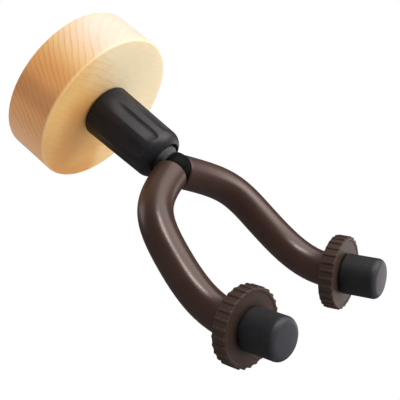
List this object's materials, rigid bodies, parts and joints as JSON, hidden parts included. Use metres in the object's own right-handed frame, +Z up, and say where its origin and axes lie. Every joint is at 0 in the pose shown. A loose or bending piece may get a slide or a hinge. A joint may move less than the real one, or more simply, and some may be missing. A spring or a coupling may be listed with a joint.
{
  "type": "wall guitar hanger",
  "caption": "Wall-mounted guitar hanger: round wooden base, fluted boot and a swivelling rubber-sleeved yoke that cradles a headstock between serrated stop discs.",
  "frame": {"origin": "centre of the base's back face, on the wall", "axes": "+Z up, -Y forward away from the wall, +X to the right of someone facing the wall; the plane X = 0 mirrors the two arms"},
  "size_m": [0.1167, 0.1796, 0.08],
  "materials": {
    "wood": "satin pale maple or beech with fine growth lines",
    "black_moulding": "satin black moulding",
    "blackened_steel": "satin black",
    "brown_rubber": "satin dark brown",
    "charcoal_rubber": "matte charcoal",
    "steel": "bright steel",
    "zinc": "zinc plated",
    "nylon": "natural nylon"
  },
  "bodies": {
    "base": {"wood_base": "wood", "wall_plate": "zinc", "plate_screw_1": "steel", "plate_screw_2": "steel", "plate_screw_3": "steel", "plate_screw_4": "steel", "base_bush": "zinc", "core_tube": "steel", "boot": "black_moulding"},
    "yoke": {"swivel_shaft": "steel", "thrust_washer": "nylon", "spring_washer": "steel", "rear_washer": "zinc", "lock_nut": "zinc", "yoke_hub": "blackened_steel", "arm_rod_left": "steel", "arm_rod_right": "steel", "sleeve_left": "brown_rubber", "sleeve_right": "brown_rubber", "retaining_ring_left": "steel", "retaining_ring_right": "steel", "end_cap_left": "charcoal_rubber", "end_cap_right": "charcoal_rubber"},
    "disc_left": {"stop_disc_left": "brown_rubber"},
    "disc_right": {"stop_disc_right": "brown_rubber"}
  },
  "joints": [
    {"name": "yoke_swivel", "type": "hinge", "parent": "base", "child": "yoke", "pos_m": [0, -0.045, 0], "axis": [0, -1, 0], "continuous": true},
    {"name": "disc_left_spin", "type": "hinge", "parent": "yoke", "child": "disc_left", "pos_m": [-0.03995, -0.15415, -0.0129], "axis": [-0.1098, -0.8736, 0.4742], "continuous": true},
    {"name": "disc_right_spin", "type": "hinge", "parent": "yoke", "child": "disc_right", "pos_m": [0.03995, -0.15415, -0.0129], "axis": [0.1098, -0.8736, 0.4742], "continuous": true}
  ]
}
